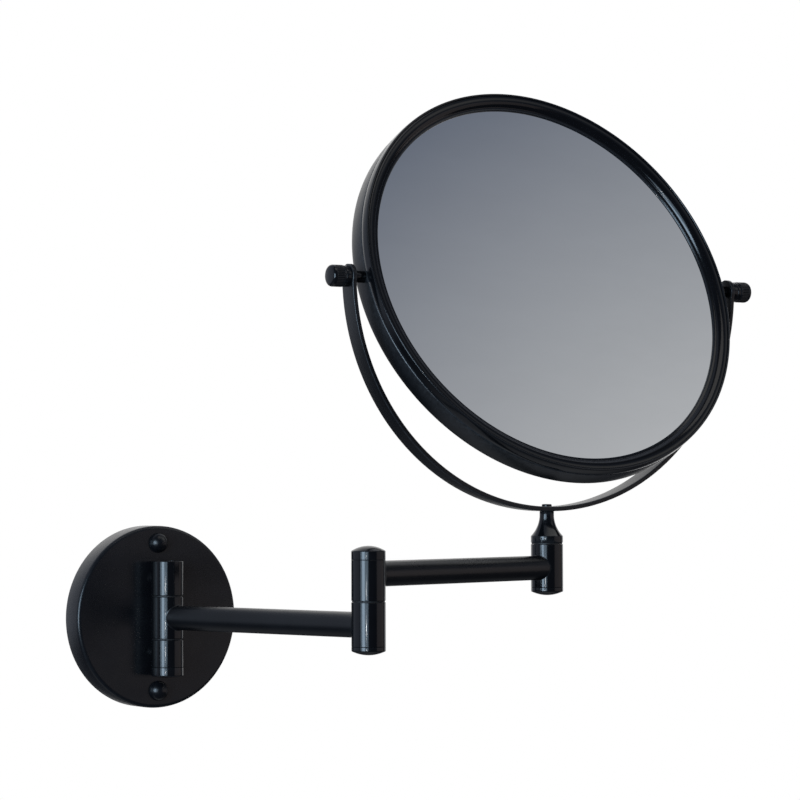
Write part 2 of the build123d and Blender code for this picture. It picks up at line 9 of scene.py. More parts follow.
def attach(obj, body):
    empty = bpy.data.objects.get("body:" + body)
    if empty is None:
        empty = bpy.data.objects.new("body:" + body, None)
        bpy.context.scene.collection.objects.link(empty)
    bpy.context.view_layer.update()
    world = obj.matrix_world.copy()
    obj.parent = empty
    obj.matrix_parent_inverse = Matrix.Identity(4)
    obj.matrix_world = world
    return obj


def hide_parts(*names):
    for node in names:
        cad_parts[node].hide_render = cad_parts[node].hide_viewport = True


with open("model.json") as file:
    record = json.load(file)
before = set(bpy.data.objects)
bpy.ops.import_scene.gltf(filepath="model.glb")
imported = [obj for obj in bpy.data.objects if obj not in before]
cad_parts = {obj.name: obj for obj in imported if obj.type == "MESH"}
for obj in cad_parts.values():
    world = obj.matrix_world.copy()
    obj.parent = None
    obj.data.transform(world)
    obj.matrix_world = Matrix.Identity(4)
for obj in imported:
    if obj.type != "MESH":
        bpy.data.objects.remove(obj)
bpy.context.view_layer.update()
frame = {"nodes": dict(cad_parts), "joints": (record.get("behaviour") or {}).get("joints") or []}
scene = bpy.context.scene
MM = 0.001
UP = Vector((0, 0, 1))
ROOM = Vector((0, -1, 0))
TURN = 192
CRISP_FROM = radians(35)

# ---------------------------------------------------------------- places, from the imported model

joints = {joint["name"]: joint for joint in frame["joints"]}
wall_axis = Vector(joints["wall_hinge"]["pos_m"]) / MM
elbow_axis = Vector(joints["elbow_hinge"]["pos_m"]) / MM
mirror_axis = Vector(joints["yoke_swivel"]["pos_m"]) / MM
mirror_centre = Vector(joints["mirror_tilt"]["pos_m"]) / MM
pivot_dir = Vector(joints["mirror_tilt"]["axis"]).normalized()
facing = pivot_dir.cross(UP).normalized()
wall_axis.z = elbow_axis.z = mirror_axis.z = 0


def points(node):
    """A node's points, in millimetres."""
    return [v.co / MM for v in frame["nodes"][node].data.vertices]


def span(node, direction=UP, origin=Vector()):
    """Least and greatest distance of a node's points from a place, along a direction."""
    found = [(p - origin).dot(direction) for p in points(node)]
    return min(found), max(found)


def head_normal():
    """Direction that the mirror faces: the tilt at which its flat glass is thinnest."""
    glass = points("front_glass")

    def tilted(degrees):
        return facing * cos(radians(degrees)) + UP * sin(radians(degrees))

    def depth(degrees):
        found = [p.dot(tilted(degrees)) for p in glass]
        return max(found) - min(found)

    best = 0
    for step in (5, 0.5, 0.05, 0.005):
        best = min((best + step * k for k in range(-12, 13)), key=depth)
    return tilted(best)


normal = head_normal()
hub = span("inner_knuckle", Vector((1, 0, 0)))[1]

# ---------------------------------------------------------------- camera

camera_data = bpy.data.cameras.new("camera")
camera_data.sensor_width = 36.0
camera_data.lens = 126.76
camera_data.clip_start = 0.05
camera_data.clip_end = 50
camera_place = Vector((-0.70886, -1.22268, 0.06259))
camera = bpy.data.objects.new("camera", camera_data)
scene.collection.objects.link(camera)
scene.camera = camera
heading, rise, roll = radians(35.27), radians(1.82), radians(-0.18)
look = Vector((sin(heading) * cos(rise), cos(heading) * cos(rise), sin(rise)))
level_right = Vector((cos(heading), -sin(heading), 0))
level_up = level_right.cross(look)
camera_right = level_right * cos(roll) + level_up * sin(roll)
camera_up = level_up * cos(roll) - level_right * sin(roll)
turned_to = Matrix((camera_right, camera_up, -look)).transposed().to_4x4()
camera.matrix_world = Matrix.Translation(camera_place) @ turned_to

# ---------------------------------------------------------------- materials


class Nodes:
    """Short ways to build a node tree."""

    def __init__(self, tree):
        self.tree = tree
        tree.nodes.clear()

    def add(self, kind, **values):
        node = self.tree.nodes.new(kind)
        for key, value in values.items():
            setattr(node, key, value)
        return node

    def feed(self, socket, value):
        if isinstance(value, (int, float)):
            socket.default_value = value
        elif isinstance(value, tuple):
            socket.default_value = (*value, 1) if len(socket.default_value) == 4 else value
        else:
            self.tree.links.new(value, socket)

    def noise(self, vector, scale, detail, rough=0.55, stretch=None):
        if stretch:
            mapping = self.add("ShaderNodeMapping")
            self.feed(mapping.inputs["Scale"], stretch)
            self.feed(mapping.inputs["Vector"], vector)
            vector = mapping.outputs["Vector"]
        node = self.add("ShaderNodeTexNoise")
        values = {"Vector": vector, "Scale": scale, "Detail": detail, "Roughness": rough}
        for key, value in values.items():
            self.feed(node.inputs[key], value)
        return node.outputs["Fac"]

    def range(self, value, low, high, to_low, to_high, smooth=False):
        curve = "SMOOTHSTEP" if smooth else "LINEAR"
        node = self.add("ShaderNodeMapRange", interpolation_type=curve)
        values = {"Value": value, "From Min": low, "From Max": high, "To Min": to_low, "To Max": to_high}
        for key, number in values.items():
            self.feed(node.inputs[key], number)
        return node.outputs["Result"]

    def math(self, operation, a, b=0.0):
        node = self.add("ShaderNodeMath", operation=operation)
        self.feed(node.inputs[0], a)
        self.feed(node.inputs[1], b)
        return node.outputs["Value"]

    def mix(self, share, a, b):
        node = self.add("ShaderNodeMix", data_type="RGBA")
        self.feed(node.inputs["Factor"], share)
        self.feed(node.inputs[6], a)
        self.feed(node.inputs[7], b)
        return node.outputs[2]

    def bump(self, height, distance, strength=1.0, under=None):
        node = self.add("ShaderNodeBump")
        self.feed(node.inputs["Distance"], distance)
        self.feed(node.inputs["Strength"], strength)
        self.feed(node.inputs["Height"], height)
        if under is not None:
            self.feed(node.inputs["Normal"], under)
        return node.outputs["Normal"]


def material(name):
    """New material: its node helper, its shader and the place on the object."""
    made = bpy.data.materials.new(name)
    made.use_nodes = True
    nodes = Nodes(made.node_tree)
    shader = nodes.add("ShaderNodeBsdfPrincipled")
    nodes.feed(nodes.add("ShaderNodeOutputMaterial").inputs["Surface"], shader.outputs["BSDF"])
    return made, nodes, shader, nodes.add("ShaderNodeTexCoord").outputs["Object"]


PALE_EDGE = (0.10, 0.105, 0.115)


def coating(name, dark, light, rough, peel, peel_size, worn):
    """Black coat on metal: cloudy colour, fine orange peel, smudged gloss, dust and paler edges."""
    made, nodes, shader, place = material(name)
    grain = nodes.noise(place, 1 / peel_size, 2, 0.5)
    smudge = nodes.noise(place, 90, 5, 0.65)
    colour = nodes.mix(nodes.range(nodes.noise(place, 38, 4), 0.35, 0.65, 0, 1), dark, light)
    dust = nodes.range(nodes.noise(place, 1900, 2, 0.7), 0.70, 0.78, 0, 0.35)
    colour = nodes.mix(dust, colour, tuple(3 * c for c in light))
    wear = nodes.add("ShaderNodeAttribute", attribute_name="wear").outputs["Fac"]
    patches = nodes.range(nodes.noise(place, 420, 4, 0.7), 0.42, 0.62, 0.15, worn)
    colour = nodes.mix(nodes.math("MULTIPLY", wear, patches), colour, PALE_EDGE)
    nodes.feed(shader.inputs["Base Color"], colour)
    smudged = nodes.range(smudge, 0.3, 0.7, *rough)
    gloss = nodes.math("ADD", smudged, nodes.range(grain, 0.3, 0.7, -0.015, 0.015))
    nodes.feed(shader.inputs["Roughness"], gloss)
    skin = nodes.bump(grain, peel)
    waves = nodes.noise(place, 160, 2, 0.5)
    nodes.feed(shader.inputs["Normal"], nodes.bump(waves, peel * 4, 0.5, skin))
    return made


def silvering(name, tint):
    """Silvered glass: an almost clean mirror with faint wiping marks and a little dust."""
    made, nodes, shader, place = material(name)
    wiped = nodes.noise(place, 26, 5, 0.6, (1.0, 1.0, 3.0))
    dust = nodes.range(nodes.noise(place, 1500, 2, 0.7), 0.72, 0.80, 0, 0.10)
    haze = nodes.range(wiped, 0.35, 0.7, 0.006, 0.030)
    nodes.feed(shader.inputs["Roughness"], nodes.math("ADD", haze, dust))
    shade = tuple(c * 0.975 for c in tint)
    nodes.feed(shader.inputs["Base Color"], nodes.mix(nodes.range(wiped, 0.3, 0.7, 0, 1), tint, shade))
    shader.inputs["Metallic"].default_value = 1.0
    return made


def turned_metal(name, colour, rough):
    """Turned steel: fine rings along the upright axis, cloudy gloss, faint stains."""
    made, nodes, shader, place = material(name)
    rings = nodes.noise(place, 60, 3, 0.6, (1, 1, 90))
    clouds = nodes.range(nodes.noise(place, 240, 4, 0.6), 0.35, 0.65, 0, 1)
    stain = tuple(c * 0.78 for c in colour)
    nodes.feed(shader.inputs["Base Color"], nodes.mix(clouds, colour, stain))
    nodes.feed(shader.inputs["Roughness"], nodes.range(rings, 0.3, 0.7, rough - 0.06, rough + 0.10))
    nodes.feed(shader.inputs["Normal"], nodes.bump(rings, 0.00001))
    shader.inputs["Metallic"].default_value = 1.0
    return made


def grained(name, dark, light, rough, grain_size, depth):
    """Plastic or board: a fine grain with a little change of colour."""
    made, nodes, shader, place = material(name)
    grain = nodes.noise(place, 1 / grain_size, 4, 0.7)
    clouds = nodes.range(nodes.noise(place, 45, 3), 0.3, 0.7, 0, 1)
    nodes.feed(shader.inputs["Base Color"], nodes.mix(clouds, dark, light))
    nodes.feed(shader.inputs["Roughness"], nodes.range(grain, 0.3, 0.7, rough - 0.08, rough + 0.08))
    nodes.feed(shader.inputs["Normal"], nodes.bump(grain, depth))
    return made


PAINTS = {
    "plate_coat": coating("plate_coat", (0.0050, 0.0054, 0.0072), (0.0070, 0.0076, 0.0098),
                          (0.24, 0.31), 0.000009, 0.0006, 0.30),
    "satin_black": coating("satin_black", (0.0048, 0.0052, 0.0065), (0.0072, 0.0077, 0.0092),
                           (0.26, 0.33), 0.000007, 0.0005, 0.35),
    "gloss_black": coating("gloss_black", (0.0035, 0.0038, 0.0050), (0.0052, 0.0056, 0.0072),
                           (0.10, 0.17), 0.000003, 0.0011, 0.12),
    "mirror_silver": silvering("mirror_silver", (0.93, 0.945, 0.95)),
    "steel": turned_metal("steel", (0.42, 0.42, 0.43), 0.30),
    "washer_nylon": grained("washer_nylon", (0.010, 0.010, 0.011), (0.018, 0.018, 0.019),
                            0.5, 0.0004, 0.00002),
    "grey_board": grained("grey_board", (0.10, 0.10, 0.105), (0.16, 0.16, 0.165),
                          0.85, 0.0007, 0.00004),
}
# CAD nodes that stay as they are, by their paint
KEPT = {
    "steel": ("knuckle_screws", "screw_cups", "wall_hinge_pin", "wall_hinge_spring", "wall_hinge_nut",
              "elbow_pin", "elbow_spring", "elbow_nut", "swivel_spring", "swivel_nut", "pivot_studs"),
    "gloss_black": ("swivel_spindle",),
    "washer_nylon": ("wall_hinge_washers", "elbow_washer", "swivel_washer"),
    "grey_board": ("backing_board", "spacer_ring"),
    "mirror_silver": ("front_glass",),
}
for paint, nodes_in_it in KEPT.items():
    for node in nodes_in_it:
        data = frame["nodes"][node].data
        data.materials.clear()
        data.materials.append(PAINTS[paint])

# ---------------------------------------------------------------- outlines


def arc(start, middle, end, steps):
    """Points of the circle through three points, from the first step to its end."""
    (ax, ay), (bx, by), (cx, cy) = start, middle, end
    d = 2 * (ax * (by - cy) + bx * (cy - ay) + cx * (ay - by))
    a2, b2, c2 = ax * ax + ay * ay, bx * bx + by * by, cx * cx + cy * cy
    ux = (a2 * (by - cy) + b2 * (cy - ay) + c2 * (ay - by)) / d
    uy = (a2 * (cx - bx) + b2 * (ax - cx) + c2 * (bx - ax)) / d
    radius = hypot(ax - ux, ay - uy)
    first, mid, last = (atan2(y - uy, x - ux) for x, y in (start, middle, end))
    sweep = (last - first) % (2 * pi)
    if (mid - first) % (2 * pi) > sweep:
        sweep -= 2 * pi
    angles = [first + sweep * k / steps for k in range(1, steps + 1)]
    return [(ux + radius * cos(t), uy + radius * sin(t)) for t in angles]


def corner(before, at, after, size, steps=5):
    """Points of a rounded corner that starts and ends a given distance from it."""
    at = Vector(at)
    start = at + (Vector(before) - at).normalized() * size
    end = at + (Vector(after) - at).normalized() * size
    shares = [k / steps for k in range(steps + 1)]
    return [tuple(start * (1 - t) ** 2 + at * 2 * t * (1 - t) + end * t * t) for t in shares]


def softened(outline, size):
    """Closed outline with each corner rounded by the same size, or as far as its edges allow."""
    made = []
    for k, at in enumerate(outline):
        before, after = outline[k - 1], outline[(k + 1) % len(outline)]
        room = min((Vector(at) - Vector(p)).length for p in (before, after)) * 0.45
        made += corner(before, at, after, min(size, room))
    return made


# ---------------------------------------------------------------- meshes


def join(bm, rings):
    """Faces between each ring of points and the next, the last with the first."""
    for k, ring in enumerate(rings):
        after = rings[(k + 1) % len(rings)]
        turn = max(len(ring), len(after))
        if turn == 1:
            continue
        for i in range(turn):
            n = (i + 1) % turn
            if len(ring) == 1:
                bm.faces.new((ring[0], after[n], after[i]))
            elif len(after) == 1:
                bm.faces.new((ring[i], ring[n], after[0]))
            else:
                bm.faces.new((ring[i], ring[n], after[n], after[i]))


def lathe(bm, outline, origin, axis, turn, shift=None):
    """Revolves a closed outline of (radius, height) pairs in millimetres about an axis.
    shift gives a point's change of radius from its radius, height and angle."""
    axis = axis.normalized()
    side = axis.orthogonal().normalized()
    other = axis.cross(side)
    rings = []
    for radius, height in outline:
        base = origin + axis * height
        if radius < 1e-6:
            rings.append([bm.verts.new(base * MM)])
            continue
        ring = []
        for k in range(turn):
            angle = 2 * pi * k / turn
            r = radius + (shift(radius, height, angle) if shift else 0)
            ring.append(bm.verts.new((base + (side * cos(angle) + other * sin(angle)) * r) * MM))
        rings.append(ring)
    join(bm, rings)


def piece(name, bm, body, paint, *nodes):
    """Makes a finished piece of a mesh: it rides on a body and stands for CAD nodes.
    Its convex edges are marked as worn, for the coats."""
    bmesh.ops.remove_doubles(bm, verts=bm.verts, dist=2e-7)
    bmesh.ops.recalc_face_normals(bm, faces=bm.faces)
    bm.normal_update()
    for edge in bm.edges:
        edge.smooth = edge.calc_face_angle(0) < CRISP_FROM
    bends = [max(edge.calc_face_angle_signed(0) for edge in vert.link_edges) for vert in bm.verts]
    wear = [min(1, max(0, bend - 0.1) / 0.25) for bend in bends]
    for face in bm.faces:
        face.smooth = True
    mesh = bpy.data.meshes.new(name)
    bm.to_mesh(mesh)
    bm.free()
    mesh.attributes.new("wear", "FLOAT", "POINT").data.foreach_set("value", wear)
    mesh.materials.append(PAINTS[paint])
    made = bpy.data.objects.new(name, mesh)
    scene.collection.objects.link(made)
    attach(made, body)
    if nodes:
        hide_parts(*nodes)
    return made


def turned(name, outline, origin, axis, body, paint, *nodes, turn=TURN, shift=None):
    """Piece turned from one closed outline."""
    bm = bmesh.new()
    lathe(bm, outline, origin, axis, turn, shift)
    return piece(name, bm, body, paint, *nodes)


# ---------------------------------------------------------------- hinge barrels and caps

bore = 3.05
seam_edge, seam_soft = 0.2, 0.08
pocket_wall = 1.6
play = 0.05


def barrel(node, axis, body, floor=None):
    """Barrel with a broken edge at each end. With a floor height, one end has a pocket down to it."""
    low, high = span(node)
    pocket = hub - pocket_wall
    outline = softened([(hub - seam_edge, low), (hub, low + seam_edge), (hub, high - seam_edge),
                        (hub - seam_edge, high)], seam_soft)
    if floor is None:
        outline += [(bore, high), (bore, low)]
    elif floor < (low + high) / 2:
        outline += [(bore, high), (bore, floor), (pocket, floor), (pocket, low)]
    else:
        outline += [(pocket, high), (pocket, floor), (bore, floor), (bore, low)]
    return turned(f"{node}_turned", outline, axis, UP, body, "gloss_black", node)


def cap(node, knuckle, axis, body, way, dome):
    """Domed end cap: a straight skirt, a rounded shoulder and a shallow dome.
    way is 1 for a cap on top of its barrel and -1 for one underneath."""
    end = 1 if way > 0 else 0
    seam = span(knuckle)[end]
    skirt = abs(span(node)[end] - seam) - dome
    curve = (hub**2 + dome**2) / (2 * dome)
    edge = 0.55
    shoulder = hub - edge

    def crown(r):
        """Height of the dome above the seam."""
        return skirt + sqrt(curve**2 - r**2) - (curve - dome)

    outline = [(0, 0.02), (hub - 0.15, 0.02), (hub - 0.06, 0.04), (hub - 0.01, 0.09), (hub, 0.16)]
    outline += corner((hub, 0), (hub, skirt + 0.1), (shoulder, crown(shoulder)), edge, 8)
    radii = [shoulder * (1 - k / 16) for k in range(1, 17)]
    outline += [(r, crown(r)) for r in radii]
    placed = [(r, seam + way * h) for r, h in outline]
    return turned(f"{node}_turned", placed, axis, UP, body, "gloss_black", node)


# The two elbow pockets are equally deep: the upper one takes the nut, the lower one the pin's head
elbow_floor = span("elbow_spring")[0] - play
pocket_depth = span("elbow_upper_knuckle")[1] - elbow_floor
barrel("wall_knuckle_upper", wall_axis, "wall_mount")
barrel("wall_knuckle_lower", wall_axis, "wall_mount", span("wall_hinge_spring")[1] + play)
barrel("inner_knuckle", wall_axis, "inner_arm")
barrel("elbow_lower_knuckle", elbow_axis, "inner_arm", span("elbow_lower_knuckle")[0] + pocket_depth)
barrel("elbow_upper_knuckle", elbow_axis, "outer_arm", elbow_floor)
barrel("mirror_hub", mirror_axis, "outer_arm", span("swivel_spring")[1] + play)
cap("wall_hinge_cap", "wall_knuckle_lower", wall_axis, "wall_mount", -1, 0.9)
cap("elbow_lower_cap", "elbow_lower_knuckle", elbow_axis, "inner_arm", -1, 1.9)
cap("elbow_upper_cap", "elbow_upper_knuckle", elbow_axis, "outer_arm", 1, 2.4)
cap("mirror_hub_cap", "mirror_hub", mirror_axis, "outer_arm", -1, 1.9)

# The upper wall barrel is closed on top
top = span("wall_knuckle_upper")[1]
plug_radius, plug_low, plug_top = bore + 0.2, top - 3.9, top - 0.01
outline = [(0, plug_low), (plug_radius, plug_low), (plug_radius, plug_top), (0, plug_top)]
turned("wall_barrel_top", outline, wall_axis, UP, "wall_mount", "gloss_black")

# ---------------------------------------------------------------- tubes and bosses

tube_wall, tube_braze = 1.2, 0.55
boss_radius, boss_bore, boss_braze = 4.5, 2.0, 0.5
sunk_in = 0.03


def coped(bm, start, direction, length, outer, inner, start_hub, end_hub, braze):
    """Round tube whose ends fit upright barrels, with a small fillet of braze round each joint.
    start_hub and end_hub are barrel radii, or 0 for a flat end."""
    direction = direction.normalized()
    side = UP.cross(direction).normalized()
    turn = 120

    def row(radius, at_start, inset):
        """Ring of points round the tube, a little way in from where it meets a barrel."""
        found = []
        hub_radius = start_hub if at_start else end_hub
        for k in range(turn):
            angle = 2 * pi * k / turn
            along = sqrt(max(hub_radius**2 - (radius * sin(angle)) ** 2, 0)) - sunk_in + inset
            along = along if at_start else length - along
            around = side * (radius * sin(angle)) + UP * (radius * cos(angle))
            found.append(bm.verts.new((start + direction * along + around) * MM))
        return found

    def flared(at_start):
        """Rings that widen towards the end: the braze's fillet."""
        size = braze if (start_hub if at_start else end_hub) else 0.01
        shares = (0, 0.12, 0.3, 0.6, 1)
        return [row(outer + size * (1 - sqrt(1 - (1 - s) ** 2)), at_start, s * size) for s in shares]

    join(bm, [row(inner, True, 0), *flared(True), *reversed(flared(False)), row(inner, False, 0)])


def arm(node, start, end, body):
    """Arm tube between two barrels, with the radius of its CAD node."""
    low, high = span(node)
    bm = bmesh.new()
    outer = (high - low) / 2
    level = UP * (low + high) / 2
    length = (end - start).length
    coped(bm, start + level, end - start, length, outer, outer - tube_wall, hub, hub, tube_braze)
    return piece(f"{node}_drawn", bm, body, "satin_black", node)


arm("inner_tube", wall_axis, elbow_axis, "inner_arm")
arm("outer_tube", elbow_axis, mirror_axis, "outer_arm")

plate_front = span("wall_plate", ROOM)[1]
bm = bmesh.new()
for knuckle in ("wall_knuckle_upper", "wall_knuckle_lower"):
    middle = sum(span(knuckle)) / 2
    reach = abs(wall_axis.y) - plate_front + 0.02
    coped(bm, wall_axis + UP * middle, -ROOM, reach, boss_radius, boss_bore, hub, 0, boss_braze)
piece("wall_bosses", bm, "wall_mount", "gloss_black")

# ---------------------------------------------------------------- wall plate and its two cover caps

plate_radius = span("wall_plate")[1]
front_edge, back_edge, inner_edge = 2.0, 0.3, 1.0
hollow_radius = plate_radius - 2.0
hollow_floor = plate_front - 2.5
profile = [(0, plate_front)]
profile += corner((0, plate_front), (plate_radius, plate_front), (plate_radius, 0), front_edge, 12)
profile += corner((plate_radius, plate_front), (plate_radius, 0), (0, 0), back_edge, 3)
profile += [(hollow_radius, 0)]
profile += corner((hollow_radius, 0), (hollow_radius, hollow_floor), (0, hollow_floor), inner_edge, 4)
profile += [(0, hollow_floor)]
turned("wall_plate_spun", profile, Vector(), ROOM, "wall_mount", "plate_coat", "wall_plate", turn=256)

cap_peak = span("screw_caps", ROOM)[1] - plate_front
cap_radius = span("screw_caps", Vector((1, 0, 0)))[1]
cap_middle = span("screw_caps")[1] - cap_radius
cap_foot = 0.5
cup_radius = 3.65
dome_height = cap_peak - cap_foot
outline = [(cap_radius - 0.12, 0), (cap_radius, 0.1)]
for k in range(21):
    turn_by = pi / 2 * k / 20
    outline.append((cap_radius * cos(turn_by), cap_foot + dome_height * sin(turn_by) ** 1.15))
outline[-1] = (0, cap_peak)
outline += [(0, cap_peak - 0.9), (3.0, cap_peak - 1.6), (cup_radius, cap_peak - 3.0), (cup_radius, 0)]
bm = bmesh.new()
for height in (cap_middle, -cap_middle):
    lathe(bm, outline, UP * height + ROOM * plate_front, ROOM, 96)
piece("screw_caps_turned", bm, "wall_mount", "plate_coat", "screw_caps")

# ---------------------------------------------------------------- neck and yoke

low, high = span("swivel_neck")
collar, straight = low + 3.4, high - 2.6
neck_bore, neck_radius, neck_edge = 2.1, 3.6, 0.35
flare = (5.1, collar + (straight - collar) * 0.42)
neck = [(neck_bore, high), (neck_bore, low), (hub - neck_edge, low), (hub - 0.1, low + 0.1),
        (hub, low + neck_edge)]
neck += corner((hub, low), (hub, collar), (hub - 1.5, collar + 1.5), neck_edge, 4)
neck += arc(neck[-1], flare, (neck_radius, straight), 32)
neck += [(neck_radius, high - 0.25), (neck_radius - 0.15, high)]
turned("swivel_neck_turned", neck, mirror_axis, UP, "yoke", "gloss_black", "swivel_neck")

strap_outer = span("yoke_strap", pivot_dir, mirror_axis)[1]
strap_half = 5.3
strap_thick, strap_edge = 2.3, 0.55
eye = 6.0
arc_height = span("yoke_strap")[0] + strap_outer
eye_top = mirror_centre.z + eye
strap_length = 2 * (eye_top - arc_height) + pi * strap_outer


def strap_spot(along, across, depth):
    """Place on the strap: along it from one eye's top, across it, and in from its outer face."""
    upright_run = eye_top - arc_height
    reach = strap_outer - depth
    bend = min(pi, max(0, (along - upright_run) / strap_outer))
    extra = max(0, upright_run - along) + max(0, along - upright_run - pi * strap_outer)
    height = arc_height - reach * sin(bend) + extra
    return mirror_axis - pivot_dir * reach * cos(bend) + facing * across + UP * height


def strap_half_width(along):
    """Half the strap's width: a round eye at each end of the flat bar."""
    from_end = min(along, strap_length - along)
    round_part = sqrt(max(eye**2 - (eye - from_end) ** 2, 0))
    return max(round_part, 0.05) if from_end < eye else max(round_part, strap_half)


ends = [eye * (1 - cos(pi / 2 * k / 24)) for k in range(24)]
run = [eye + (strap_length - 2 * eye) * k / 300 for k in range(301)]
bm = bmesh.new()
rings = []
for along in ends + run + [strap_length - s for s in reversed(ends)]:
    half = strap_half_width(along)
    section = [(-half, 0), (half, 0), (half, strap_thick), (-half, strap_thick)]
    section = softened(section, strap_edge)
    rings.append([bm.verts.new(strap_spot(along, across, depth) * MM) for across, depth in section])
for ring, after in zip(rings, rings[1:]):
    for k in range(len(ring)):
        n = (k + 1) % len(ring)
        bm.faces.new((ring[k], ring[n], after[n], after[k]))
bm.faces.new(rings[0])
bm.faces.new(rings[-1])
piece("yoke_strap_bent", bm, "yoke", "satin_black", "yoke_strap")

# ---------------------------------------------------------------- mirror head

rim_radius = span("rear_shell", pivot_dir, mirror_centre)[1]
front_crest = span("front_ring", normal, mirror_centre)[1]
rear_crest = span("rear_shell", normal, mirror_centre)[0]
front_level = span("front_glass", normal, mirror_centre)[1]
split = span("front_ring", normal, mirror_centre)[0]
opening = rim_radius - 8.3
ring_wall, glass_seat, seat_height = 1.09, 3.75, 2.5
shell_lap, lap_height, shell_wall = 1.1, 2.3, 2


def rolled(level, crest, way):
    """Rolled lip round a glass: a thin inner lip, a convex band, a groove and an outer bead.
    level is the lip's own height, crest the highest, and way 1 in front or -1 behind."""
    lift = abs(crest - level)

    def sunk(share):
        """Height below the crest, as a share of the lift."""
        return crest - way * share * lift

    band = [(opening, level), (opening + 0.25, sunk(0.90)), (opening + 1.5, sunk(0.84))]
    band += [(opening + 1.7, sunk(0.79))]
    band += arc(band[-1], (opening + 4.2, sunk(0.22)), (rim_radius - 1.75, sunk(0.17)), 22)
    band += [(rim_radius - 1.68, sunk(0.30)), (rim_radius - 1.5, sunk(0.30))]
    band += [(rim_radius - 1.42, sunk(0.14))]
    band += arc(band[-1], (rim_radius - 0.85, crest), (rim_radius - 0.38, crest - way * 0.45), 12)
    return band + [(rim_radius - 0.24, crest - way * 1.1), (rim_radius - 0.06, crest - way * 3.0)]


ring = rolled(front_level + 0.45, front_crest, 1)
ring += [(rim_radius, split + 0.45), (rim_radius - 0.12, split + 0.15), (rim_radius - 0.35, split),
         (rim_radius - ring_wall, split), (rim_radius - ring_wall, split + seat_height),
         (rim_radius - glass_seat, split + seat_height), (rim_radius - glass_seat, front_level + 0.05),
         (opening, front_level + 0.05)]
turned("front_ring_spun", ring, mirror_centre, normal, "mirror_head", "gloss_black", "front_ring",
       turn=384)
shell = rolled(rear_crest + 0.75, rear_crest, -1)
shell += [(rim_radius, split - 0.75), (rim_radius - 0.1, split - 0.35),
          (rim_radius - 0.4, split - 0.06), (rim_radius - shell_lap, split - 0.06),
          (rim_radius - shell_lap, split + lap_height), (rim_radius - shell_wall, split + lap_height),
          (rim_radius - shell_wall, rear_crest + 1.25), (opening, rear_crest + 1.25)]
turned("rear_shell_spun", shell, mirror_centre, normal, "mirror_head", "satin_black", "rear_shell",
       turn=384)

glass_radius = span("rear_glass", pivot_dir, mirror_centre)[1]
rear_level = span("rear_glass", normal, mirror_centre)[0]
bowl, bowl_thick = 4.1, 2.5
curve = (glass_radius**2 + bowl**2) / (2 * bowl)
outline = []
for lift, order in ((0, range(64, -1, -1)), (bowl_thick, range(65))):
    radii = [glass_radius * k / 64 for k in order]
    outline += [(r, rear_level + lift + sqrt(curve**2 - r**2) - curve + bowl) for r in radii]
turned("rear_glass_bent", outline, mirror_centre, normal, "mirror_head", "mirror_silver", "rear_glass",
       turn=256)

# ---------------------------------------------------------------- tilt pivots: bushes, washers and knobs

stud_bore, bush_bore, bush_radius = 2.05, 2.01, 2.9
washer_radius, washer_thick = 5.1, 2.7
knob_radius, knob_shoulder = 5.3, 1.9
RIBS, RIB_DEPTH = 36, 0.3


def collar_outline(inner, outer, low, high, soft):
    """Outline of a plain ring with softened edges."""
    return softened([(inner, low), (outer, low), (outer, high), (inner, high)], soft)


bushes, washers = bmesh.new(), bmesh.new()
for side in (-1, 1):
    out = pivot_dir * side
    bush_end = strap_outer - strap_thick - 0.3
    bush = collar_outline(bush_bore, bush_radius, rim_radius + 0.02, bush_end, 0.25)
    lathe(bushes, bush, mirror_centre, out, 72)
    seat = strap_outer + play
    washer = collar_outline(stud_bore, washer_radius, seat, seat + washer_thick, 0.45)
    lathe(washers, washer, mirror_centre, out, 128)
piece("pivot_bushes_turned", bushes, "mirror_head", "gloss_black", "pivot_bushes")
piece("pivot_washers_turned", washers, "mirror_head", "gloss_black", "pivot_washers")
low, high = span("extra_washer", pivot_dir, mirror_centre)
outline = collar_outline(stud_bore, washer_radius, low, high, 0.4)
turned("extra_washer_turned", outline, mirror_centre, pivot_dir, "mirror_head", "gloss_black",
       "extra_washer", turn=128)


def knurl(start, end):
    """Rounded ribs along the grip, which fade out at both ends of it."""
    def shift(radius, height, angle):
        if radius < knob_radius - 0.05 or not start < height < end:
            return 0
        share = min(1, (height - start) / 0.35, (end - height) / 0.35)
        return -RIB_DEPTH * share * (1 - abs(sin(angle * RIBS / 2)) ** 0.7)
    return shift


for side, name in ((-1, "left"), (1, "right")):
    out = pivot_dir * side
    low, high = span(f"knob_{name}", out, mirror_centre)
    grip_low, grip_high = low + 0.9, high - 2.2
    face = knob_radius - knob_shoulder
    bore_end = high - 1.55
    outline = [(stud_bore, low), (knob_radius - 0.35, low), (knob_radius - 0.08, low + 0.1)]
    outline += [(knob_radius, low + 0.4)]
    outline += [(knob_radius, grip_low + (grip_high - grip_low) * k / 12) for k in range(13)]
    outline += corner((knob_radius, grip_high), (knob_radius, high - 0.3), (face, high - 0.2),
                      knob_shoulder, 12)
    outline += [(face * (1 - k / 8), high - 0.2 * (1 - k / 8) ** 2) for k in range(1, 9)]
    outline += [(0, bore_end), (stud_bore, bore_end)]
    turned(f"knob_{name}_knurled", outline, mirror_centre, out, f"knob_{name}", "gloss_black",
           f"knob_{name}", turn=RIBS * 12, shift=knurl(grip_low, grip_high))

# ---------------------------------------------------------------- light


def direction(azimuth, elevation):
    """Direction to a light: azimuth from straight in front of the wall, to the left if negative."""
    a, e = radians(azimuth), radians(elevation)
    return Vector((sin(a) * cos(e), -cos(a) * cos(e), sin(e)))


focus = Vector((0.08, -0.08, 0.08))


